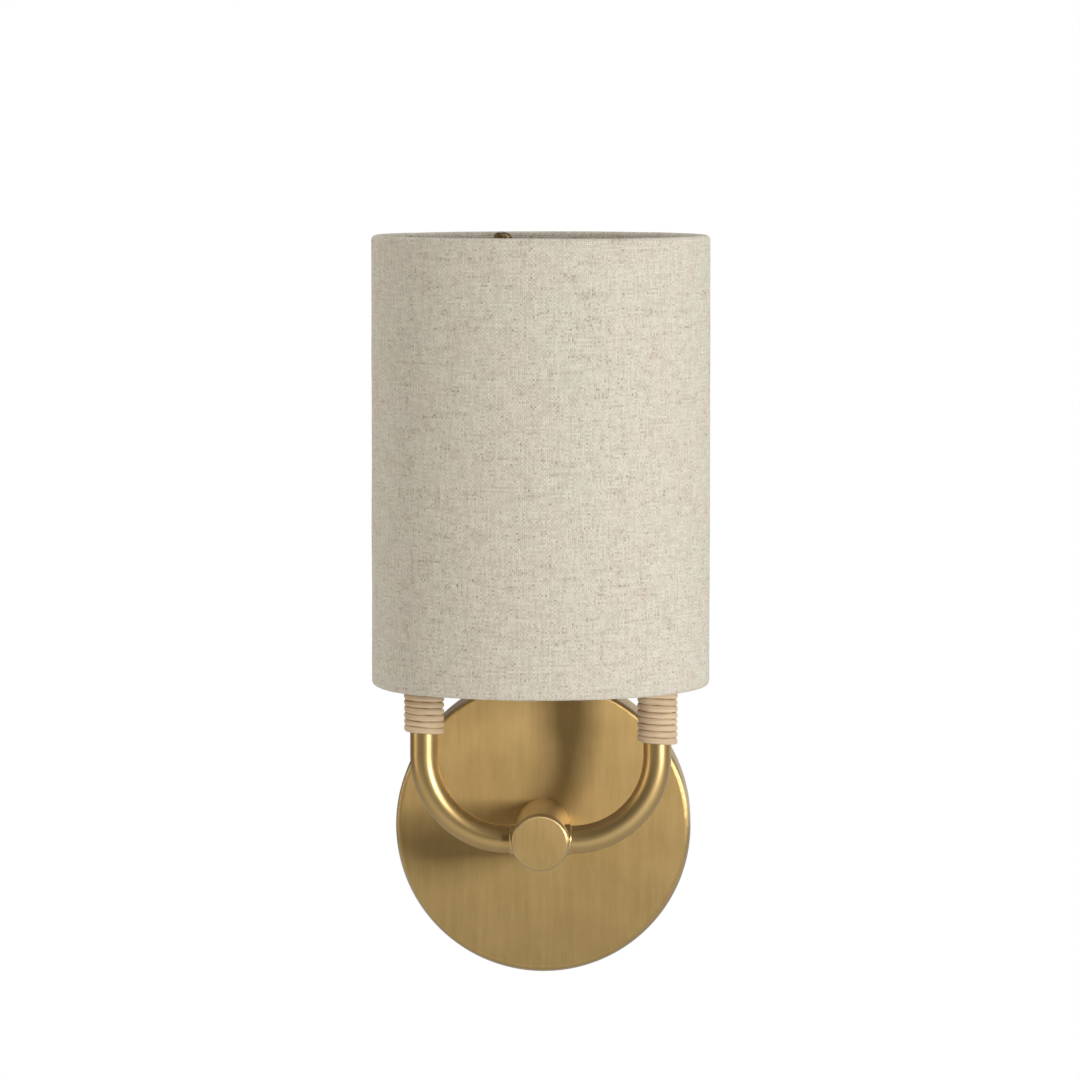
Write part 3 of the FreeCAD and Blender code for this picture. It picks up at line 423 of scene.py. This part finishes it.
SLEEVE_CREST = 0.0197
SLEEVE_ROOT = 0.0189
SLEEVE_BORE = 0.01455
SLEEVE_PITCH = 0.0025
SHOULDER_HEIGHT = 0.003
RING_HOLE = 0.0200
RING_SIDES = 120
RIB_DEPTH = 0.0007
RIB_INSIDE = 0.0238
SIDES_PER_RIB = 5
GROOVE_SIDES = 2
SHOULDER_EDGE = 0.0004
RING_EDGE = 0.0002
SHARP_ABOVE = math.radians(50)
WAVE_STEPS = 8


def rolled_thread(name, bottom, top, crest, root, pitch):
    """A threaded wall round the origin: a wave of one pitch, wound upwards and cut level."""
    wall = start_point(name, (crest, 0, bottom - pitch))
    wave = []
    for step in range(WAVE_STEPS + 1):
        dip = (1 - math.cos(math.tau * step / WAVE_STEPS)) / 2 * (root - crest)
        wave.append((dip, 0, pitch * step / WAVE_STEPS))
    draw_on(wave)
    bpy.ops.object.mode_set(mode="OBJECT")
    winding = wall.modifiers.new("winding", "SCREW")
    winding.axis = "Z"
    winding.angle = math.tau
    winding.screw_offset = pitch
    winding.iterations = math.ceil((top - bottom) / pitch) + 2
    winding.steps = STEPS_PER_TURN
    winding.render_steps = STEPS_PER_TURN
    apply_modifiers(wall)
    bpy.ops.object.mode_set(mode="EDIT")
    bpy.ops.mesh.select_all(action="SELECT")
    bpy.ops.mesh.remove_doubles(threshold=MERGE_GAP)
    bpy.ops.mesh.bisect(plane_co=(0, 0, bottom), plane_no=(0, 0, 1), clear_inner=True)
    bpy.ops.mesh.select_all(action="SELECT")
    bpy.ops.mesh.bisect(plane_co=(0, 0, top), plane_no=(0, 0, 1), clear_outer=True)
    bpy.ops.object.mode_set(mode="OBJECT")
    return wall


def plain_wall(name, bottom, top, radius, sides):
    """A round wall about the origin, open at both ends."""
    bpy.ops.object.select_all(action="DESELECT")
    bpy.ops.mesh.primitive_cylinder_add(vertices=sides, radius=radius, depth=top - bottom,
                                        end_fill_type="NOTHING", location=(0, 0, (bottom + top) / 2))
    return settle(start_piece(name))


def give_bore(share):
    """Turn the wall's open edges in to a share of their radius and join them as a bore."""
    bpy.ops.object.mode_set(mode="EDIT")
    bpy.ops.mesh.select_mode(type="EDGE")
    bpy.ops.mesh.select_all(action="DESELECT")
    bpy.ops.mesh.select_non_manifold()
    bpy.ops.mesh.extrude_edges_move()
    bpy.ops.transform.resize(value=(share, share, 1), center_override=(0, 0, 0))
    bpy.ops.mesh.bridge_edge_loops()
    bpy.ops.mesh.select_all(action="SELECT")
    bpy.ops.mesh.normals_make_consistent(inside=False)
    bpy.ops.object.mode_set(mode="OBJECT")


def pick_faces(piece, wanted):
    """Go into edit mode with the faces selected whose middles pass a test."""
    bpy.ops.object.mode_set(mode="EDIT")
    bpy.ops.mesh.select_mode(type="FACE")
    bpy.ops.mesh.select_all(action="DESELECT")
    bpy.ops.object.mode_set(mode="OBJECT")
    for face in piece.data.polygons:
        face.select = wanted(face.center)
    bpy.ops.object.mode_set(mode="EDIT")


def break_edges(piece, width):
    """Round the sharp edges a little."""
    softened = piece.modifiers.new("softened", "BEVEL")
    softened.width = width
    softened.segments = 2
    softened.limit_method = "ANGLE"
    softened.angle_limit = SHARP_ABOVE
    apply_modifiers(piece)
    bpy.ops.object.shade_smooth_by_angle(angle=SMOOTH_BELOW)


def join_and_place(piece, other, node):
    """Join two walls, put them on the node's axis and have them stand for the node."""
    bpy.ops.object.select_all(action="DESELECT")
    other.select_set(True)
    piece.select_set(True)
    bpy.context.view_layer.objects.active = piece
    bpy.ops.object.join()
    low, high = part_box(node)
    piece.location = ((low.x + high.x) / 2, (low.y + high.y) / 2, 0)
    settle(piece)
    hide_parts(node)


def in_rib_groove(middle):
    """On the ring's outside, in two of each five sides."""
    side = math.atan2(middle.y, middle.x) / math.tau * RING_SIDES
    return math.hypot(middle.x, middle.y) > RIB_INSIDE and math.floor(side) % SIDES_PER_RIB < GROOVE_SIDES


sleeve_low, sleeve_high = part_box("socket_body")
shoulder_top = sleeve_low.z + SHOULDER_HEIGHT
shoulder = plain_wall("lampholder_shoulder", sleeve_low.z, shoulder_top, sleeve_high.x, RING_SIDES)
give_bore(SLEEVE_BORE / sleeve_high.x)
break_edges(shoulder, SHOULDER_EDGE)
sleeve = rolled_thread("lampholder_sleeve", shoulder_top, sleeve_high.z,
                       SLEEVE_CREST, SLEEVE_ROOT, SLEEVE_PITCH)
give_bore(SLEEVE_BORE / SLEEVE_ROOT)
bpy.ops.object.shade_smooth_by_angle(angle=SMOOTH_BELOW)
join_and_place(sleeve, shoulder, "socket_body")
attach(sleeve, "fixture")

ring_low, ring_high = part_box("shade_retaining_ring")
ring = plain_wall("shade_ring_nut", ring_low.z, ring_high.z, ring_high.x, RING_SIDES)
give_bore(RING_HOLE / ring_high.x)
pick_faces(ring, in_rib_groove)
bpy.ops.mesh.extrude_region_move()
groove_share = 1 - RIB_DEPTH / ring_high.x
bpy.ops.transform.resize(value=(groove_share, groove_share, 1), center_override=(0, 0, 0))
bpy.ops.object.mode_set(mode="OBJECT")
break_edges(ring, RING_EDGE)
ring.location = (0, (ring_low.y + ring_high.y) / 2, 0)
settle(ring)
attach(ring, "shade_hold")
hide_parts("shade_retaining_ring")

phenolic, at = new_finish("black_phenolic", {"Specular IOR Level": 0.5})
mottle = at.noise(500.0, 4.0)
feed(phenolic, {
    "Base Color": mottle.blend((0.010, 0.009, 0.008, 1), (0.030, 0.027, 0.024, 1)),
    "Roughness": 0.30 + 0.25 * mottle,
    "Normal": at.noise(1500.0, 2.0).bump(0.00003),
})
dress(phenolic, nodes["socket_cup"], sleeve, ring)
dress(zinc, nodes["socket_nipple"], nodes["socket_locknut"])

ceramic, at = new_finish("white_ceramic", {})
glaze = at.noise(300.0, 4.0)
feed(ceramic, {
    "Base Color": glaze.blend((0.66, 0.63, 0.57, 1), (0.78, 0.76, 0.71, 1)),
    "Roughness": 0.35 + 0.3 * glaze,
    "Normal": glaze.bump(0.00003),
})
dress(ceramic, nodes["socket_block"], nodes["bulb_insulator"])

contact_brass, at = new_finish("contact_brass", {"Metallic": 1.0})
rub = at.noise(1200.0, 3.0)
feed(contact_brass, {
    "Base Color": rub.blend((0.56, 0.39, 0.15, 1), (0.72, 0.54, 0.25, 1)),
    "Roughness": 0.20 + 0.2 * rub,
})
dress(contact_brass, nodes["socket_screw_shell"], nodes["socket_contact"], nodes["socket_terminal_screws"],
      nodes["bulb_contact"])


# Bulb: a candle-shaped clear glass on a nickel screw cap, with a glass stem that carries four rod filaments.
# The cap's thread is rolled into its thin wall, under a plain collar that grips the glass.

CAP_CREST = 0.0130
CAP_ROOT = 0.01245
CAP_PITCH = 0.003629
CAP_COLLAR = 0.0034
CAP_LAP = 0.0002
CAP_EDGE = 0.00015
CAP_SIDES = 96
CAP_COLLAR_SHARE = 0.965
CAP_THREAD_SHARE = 0.97

cap_low, cap_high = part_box("bulb_cap")
cap_collar = plain_wall("bulb_cap_collar", cap_high.z - CAP_COLLAR, cap_high.z, CAP_CREST, CAP_SIDES)
give_bore(CAP_COLLAR_SHARE)
break_edges(cap_collar, CAP_EDGE)
screw_cap = rolled_thread("bulb_screw_cap", cap_low.z, cap_high.z - CAP_COLLAR + CAP_LAP,
                          CAP_CREST, CAP_ROOT, CAP_PITCH)
give_bore(CAP_THREAD_SHARE)
bpy.ops.object.shade_smooth_by_angle(angle=SMOOTH_BELOW)
join_and_place(screw_cap, cap_collar, "bulb_cap")
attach(screw_cap, "bulb")

nickel, at = new_finish("nickel", {"Metallic": 1.0})
rub = at.noise(900.0, 3.0)
feed(nickel, {
    "Base Color": rub.blend((0.55, 0.53, 0.49, 1), (0.70, 0.68, 0.64, 1)),
    "Roughness": 0.16 + 0.2 * rub,
})
dress(nickel, screw_cap)

glass, at = new_finish("clear_glass", {
    "Base Color": (0.97, 0.98, 0.97, 1),
    "Transmission Weight": 1.0,
    "IOR": 1.47,
})
ripple = at.noise(90.0, 2.0)
feed(glass, {
    "Roughness": 0.01 + 0.02 * ripple,
    "Normal": ripple.bump(0.00005, 0.3),
})
dress(glass, nodes["bulb_glass"], nodes["bulb_stem"])

phosphor, at = new_finish("yellow_phosphor", {})
grain = at.noise(2500.0, 2.0)
feed(phosphor, {
    "Base Color": grain.blend((0.72, 0.46, 0.07, 1), (0.86, 0.62, 0.16, 1)),
    "Roughness": 0.4 + 0.2 * grain,
})
dress(phosphor, nodes["bulb_filaments"])


# Shade frame: two brass-plated wire rings, three wire spokes and a flat fitter ring that rests on the
# lampholder's shoulder. A stiff white liner stands between the rings.

brass_wire, at = new_finish("brass_wire", {"Metallic": 1.0})
rub = at.noise(800.0, 3.0)
feed(brass_wire, {
    "Base Color": rub.blend((0.52, 0.345, 0.145, 1), (0.68, 0.49, 0.245, 1)),
    "Roughness": 0.28 + 0.2 * rub,
})
dress(brass_wire, nodes["shade_top_ring"], nodes["shade_bottom_ring"], nodes["shade_spokes"],
      nodes["shade_fitter_ring"])

styrene, at = new_finish("white_styrene", {})
haze = at.noise(60.0, 3.0)
feed(styrene, {
    "Base Color": haze.blend((0.70, 0.68, 0.63, 1), (0.78, 0.76, 0.72, 1)),
    "Roughness": 0.45 + 0.15 * haze,
    "Normal": at.noise(1400.0, 2.0).bump(0.00002),
})
dress(styrene, nodes["shade_liner"])


# Shade cover: oatmeal linen stretched round the liner, turned in over the ring at each edge and glued inside
# as a narrow hem, with one upright lap at the back and a notch in the upper hem for each spoke.

LINEN_SHEET = 0.0006
FOLD_RADIUS = 0.0018
HEM_DEPTH = 0.009
LAP_WIDTH = 0.012
NOTCH_WIDTH = 0.0074
NOTCH_ARCH = 0.0022
SPOKE_BEARINGS = (-15.5, 104.5, 224.5)
LINEN_SIDES = 576
WALL_ROWS = 24
FOLD_ROWS = 12
LAP_SLACK = 0.0006
HEM_SLACK = 0.0002
CLOTH_SMOOTH_BELOW = math.radians(40)
YARN_PITCH = 0.0008

linen_low, linen_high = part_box("shade_linen")
linen_radius = (linen_high.x - linen_low.x) / 2
linen_axis = (linen_low.y + linen_high.y) / 2
fold_middle = linen_radius - FOLD_RADIUS


def linen_profile():
    """The cover's section from the lower hem, round the edges, to the upper hem."""
    bottom, top = linen_low.z, linen_high.z
    hem = fold_middle - FOLD_RADIUS
    points = [(hem, bottom + HEM_DEPTH)]
    for row in range(FOLD_ROWS + 1):
        turn = math.pi + math.pi * row / FOLD_ROWS
        points.append((fold_middle + FOLD_RADIUS * math.cos(turn),
                       bottom + FOLD_RADIUS + FOLD_RADIUS * math.sin(turn)))
    run = top - bottom - 2 * FOLD_RADIUS
    for row in range(1, WALL_ROWS):
        points.append((linen_radius, bottom + FOLD_RADIUS + run * row / WALL_ROWS))
    for row in range(FOLD_ROWS + 1):
        turn = math.pi * row / FOLD_ROWS
        points.append((fold_middle + FOLD_RADIUS * math.cos(turn),
                       top - FOLD_RADIUS + FOLD_RADIUS * math.sin(turn)))
    points.append((hem, top - HEM_DEPTH))
    return points


def in_lap(middle):
    """On the outer wall, at the back."""
    return (abs(middle.x) < LAP_WIDTH / 2 and middle.y > linen_axis + linen_radius - LAP_SLACK
            and linen_low.z + FOLD_RADIUS < middle.z < linen_high.z - FOLD_RADIUS)


def in_notch(middle):
    """On the upper hem, in front of a spoke."""
    radius = math.hypot(middle.x, middle.y - linen_axis)
    if radius > fold_middle - HEM_SLACK or not linen_high.z - HEM_DEPTH < middle.z:
        return False
    bearing = math.degrees(math.atan2(middle.x, middle.y - linen_axis))
    aside = min(abs((bearing - spoke + 180) % 360 - 180) for spoke in SPOKE_BEARINGS)
    rise = max(0.0, middle.z - linen_high.z + NOTCH_ARCH) / NOTCH_ARCH
    return math.radians(aside) * radius < NOTCH_WIDTH / 2 * math.sqrt(1 - rise * rise)


profile = linen_profile()
section = [(0, linen_axis + radius, height) for radius, height in profile]
cover = start_point("linen_cover", section[0])
draw_on(section)
turn_outline(LINEN_SIDES, (0, linen_axis, 0), (0, 0, 1))
pick_faces(cover, in_notch)
bpy.ops.mesh.delete(type="FACE")
bpy.ops.object.mode_set(mode="OBJECT")
pick_faces(cover, in_lap)
bpy.ops.mesh.extrude_region_move()
lap_share = 1 + LINEN_SHEET / linen_radius
bpy.ops.transform.resize(value=(lap_share, lap_share, 1), center_override=(0, linen_axis, 0))
bpy.ops.object.mode_set(mode="OBJECT")
uneven(cover, grain=0.035, amount=0.0004, middle=0.0)
cloth = cover.modifiers.new("cloth", "SOLIDIFY")
cloth.thickness = LINEN_SHEET
cloth.offset = -1
apply_modifiers(cover)
bpy.ops.object.shade_smooth_by_angle(angle=CLOTH_SMOOTH_BELOW)

linen, at = new_finish("oatmeal_linen", {"Roughness": 0.92, "Specular IOR Level": 0.2, "Sheen Weight": 0.1})
parts = at.node("ShaderNodeSeparateXYZ", None, {0: at})
across, depth, up = parts, parts.other(1) - linen_axis, parts.other(2)
around = at.maths("ARCTAN2", across, 0.0 - depth) * linen_radius
sway = at.noise(60.0, 2.0) * 0.5
warp_place = around / YARN_PITCH + sway
weft_place = up / YARN_PITCH + sway
warp_number = at.maths("FLOOR", warp_place)
weft_number = at.maths("FLOOR", weft_place)
over = at.maths("FLOORED_MODULO", warp_number + weft_number, 2.0)
crossing = at.node("ShaderNodeCombineXYZ", None, {0: warp_number, 1: weft_number})
speck = at.node("ShaderNodeTexWhiteNoise", {"noise_dimensions": "2D"}, {"Vector": crossing})
chance = at.node("ShaderNodeSeparateColor", None, {0: speck.other(1)})


def yarn(along, number, per_metre, shift):
    """Noise that runs along each thread and differs from thread to thread."""
    place = at.node("ShaderNodeCombineXYZ", None, {0: along * per_metre, 1: number * 0.73 + shift})
    return place.noise(1.0, 2.0)


weft_tone = yarn(around, weft_number, 110.0, 0.0)
warp_tone = yarn(up, warp_number, 110.0, 40.0)
weft_slub = yarn(around, weft_number, 260.0, 90.0).step(0.62, 0.69)
warp_slub = yarn(up, warp_number, 260.0, 150.0).step(0.64, 0.71)
tone = over * warp_tone + (1 - over) * weft_tone
slub = over * warp_slub + (1 - over) * weft_slub
patch = at.noise(48.0, 2.0).step(0.38, 0.62)
wide_slub = at.node("ShaderNodeCombineXYZ", None, {0: around * 75.0, 1: up * 300.0}).noise(1.0, 2.0)
tall_slub = at.node("ShaderNodeCombineXYZ", None, {0: around * 300.0, 1: up * 75.0, 2: 7.0}).noise(1.0, 2.0)
cluster = at.maths("MAXIMUM", wide_slub, tall_slub - 0.03).step(0.53, 0.70)
fleck = chance.step(0.50, 0.97) * cluster + 0.5 * chance.step(0.965, 0.998)
nub = at.noise(760.0, 1.0).step(0.76, 0.82)
blush = at.noise(150.0, 2.0).step(0.60, 0.72) * 0.55
long_weft = yarn(around, weft_number, 34.0, 210.0).step(0.60, 0.70)
long_warp = yarn(up, warp_number, 34.0, 260.0).step(0.60, 0.70)
long_thread = over * long_warp + (1 - over) * long_weft
pale = patch.blend((0.765, 0.722, 0.600, 1), (0.770, 0.708, 0.598, 1))
shadowed = patch.blend((0.56, 0.515, 0.415, 1), (0.57, 0.500, 0.410, 1))
brown = patch.blend((0.34, 0.265, 0.19, 1), (0.40, 0.27, 0.20, 1))
pinked = blush.blend(pale, (0.70, 0.575, 0.475, 1))
woven = (0.82 * tone + 0.18 * speck).step(0.24, 0.70).blend(shadowed, pinked)
lined = (long_thread * 0.35).blend(woven, shadowed)
slubbed = (slub * 0.6).blend(lined, brown)
flecked = (fleck * 0.62).blend(slubbed, brown)
height = over * at.maths("SINE", warp_place * math.pi) + (1 - over) * at.maths("SINE", weft_place * math.pi)
feed(linen, {
    "Base Color": nub.blend(flecked, (0.17, 0.125, 0.09, 1)),
    "Normal": (at.maths("ABSOLUTE", height) * (0.5 + tone) + 0.6 * slub).bump(0.0002, 0.8),
})
dress(linen, cover)
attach(cover, "shade")
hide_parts("shade_linen")


# Studio: a plain pale floor well below the sconce, a small soft light near it on the right, a weak warm one
# on the left, and a white room that is dimmer where the brass mirrors it.

CAMERA_PLACE = (0.0503, -2.4861, 0.2939)
CAMERA_TARGET = (-0.0003, -0.072, 0.1193)
CAMERA_LENS = 203.82
CAMERA_SENSOR = 36.0
FLOOR_SIZE = 12.0
FLOOR_HEIGHT = -1.6

bpy.ops.object.select_all(action="DESELECT")
bpy.ops.mesh.primitive_plane_add(size=FLOOR_SIZE, location=(0, 0, FLOOR_HEIGHT))
floor = start_piece("floor")
paper, at = new_finish("pale_paper", {"Roughness": 0.9, "Base Color": (0.86, 0.86, 0.85, 1)})
dress(paper, floor)
ray = at.node("ShaderNodeLightPath")
seen = at.maths("MAXIMUM", ray, ray.other("Is Transmission Ray"))
shown = at.maths("MAXIMUM", seen, ray.other("Is Glossy Ray"))
in_front = at.node("ShaderNodeSeparateXYZ", None, {0: at}, 1).step(-2.0, -0.3, 0.66, 0.40)
white_strength = seen.step(0.0, 1.0, in_front, 1.0)
white = at.node("ShaderNodeEmission", None, {"Color": (1, 1, 1, 1), "Strength": white_strength})
shader = Field(paper.node_tree.nodes["Principled BSDF"].outputs[0])
mixed = at.node("ShaderNodeMixShader", None, {0: shown * 0.95, 1: shader, 2: white})
paper.node_tree.links.new(mixed.socket, paper.node_tree.nodes["Material Output"].inputs["Surface"])

world = bpy.data.worlds.new("white_room")
bpy.context.scene.world = world
world.use_nodes = True
background = world.node_tree.nodes["Background"]
towards = Field(world.node_tree.nodes.new("ShaderNodeTexCoord").outputs["Generated"])
parts = towards.node("ShaderNodeSeparateXYZ", None, {0: towards})
backwards = parts.other(1)
ray = towards.node("ShaderNodeLightPath")
seen = ray.maths("MAXIMUM", ray, ray.other("Is Transmission Ray"))
mirrored = ray.other("Is Glossy Ray") * (1 - seen)
brighter_right = parts.step(-0.4, 0.4, 0.13, 0.62)
dimmer_below = parts.other(2).step(-0.7, 0.1, 0.35, 1.0)
behind = backwards.step(0.0, 0.9) * brighter_right * dimmer_below
room = 0.09 + behind + parts.step(0.1, 0.9, 0.0, 0.12)
glow = backwards.step(-0.3, 0.5, 0.43, 0.93) + parts.other(2).step(0.2, 0.9, 0.0, 0.22)
strength = glow * (1 - seen) * (1 - mirrored) + mirrored * room + seen
background.inputs["Color"].default_value = (1, 1, 1, 1)
world.node_tree.links.new(strength.socket, background.inputs["Strength"])


def soft_light(name, place, target, width, height, watts, colour=(1, 1, 1)):
    """A soft box that points at a target."""
    bpy.ops.object.light_add(type="AREA", location=place)
    lamp = bpy.context.active_object
    lamp.name = name
    lamp.data.shape = "RECTANGLE"
    lamp.data.size = width
    lamp.data.size_y = height
    lamp.data.energy = watts
    lamp.data.color = colour
    lamp.rotation_euler = (Vector(target) - Vector(place)).to_track_quat("-Z", "Y").to_euler()


soft_light("key_right", place=(0.757, -0.985, 0.160), target=(0, -0.07, 0.04),
           width=0.2, height=0.3, watts=7.8)
soft_light("fill_left", place=(-1.8, -0.6, 0.25), target=(0, -0.07, 0.09),
           width=0.5, height=1.2, watts=4.2, colour=(1.0, 0.86, 0.66))

bpy.ops.object.camera_add(location=CAMERA_PLACE)
camera = bpy.context.active_object
camera.data.lens = CAMERA_LENS
camera.data.sensor_width = CAMERA_SENSOR
camera.rotation_euler = (Vector(CAMERA_TARGET) - Vector(CAMERA_PLACE)).to_track_quat("-Z", "Y").to_euler()
bpy.context.scene.camera = camera
bpy.context.scene.view_settings.view_transform = "Standard"
